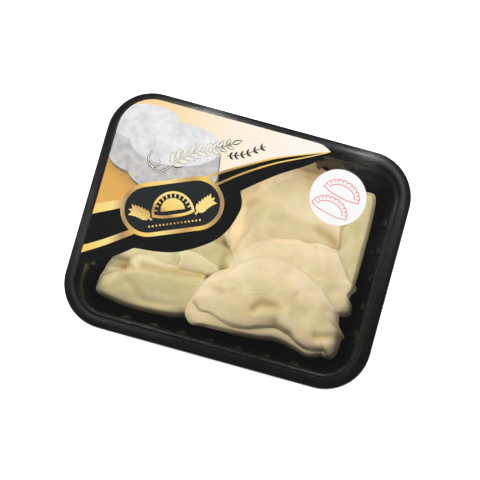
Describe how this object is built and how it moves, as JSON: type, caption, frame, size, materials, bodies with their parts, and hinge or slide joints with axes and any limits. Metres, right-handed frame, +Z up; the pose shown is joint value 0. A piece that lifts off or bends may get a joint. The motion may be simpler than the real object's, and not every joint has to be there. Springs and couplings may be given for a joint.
{
  "type": "sealed tray of pierogi dumplings",
  "caption": "Shallow ribbed black tray with rounded corners, filled with half-moon dumplings under a clear lid film that carries a printed corner label and a round sticker.",
  "frame": {"origin": "middle of the tray's foot, on the surface it stands on", "axes": "+X along the tray's long side, +Y to the side with the label's long edge, +Z up through the film"},
  "size_m": [0.19, 0.148, 0.0458],
  "materials": {
    "black_plastic": "glossy black thermoformed plastic",
    "dough": "boiled wheat dough, moist and slightly see-through at its rim",
    "clear_film": "clear glossy lid film",
    "label_print": "satin print, black with cream, orange and gold fields",
    "sticker_white": "smooth white paper with a coral line drawing"
  },
  "bodies": {
    "root": {"tray": "black_plastic", "pierog_left": "dough", "pierog_lower_left": "dough", "pierog_lower_back": "dough", "pierog_right": "dough", "pierog_lower_front": "dough", "pierog_back": "dough", "pierog_middle": "dough", "pierog_front": "dough", "film": "clear_film", "label": "label_print", "sticker": "sticker_white"}
  },
  "joints": []
}
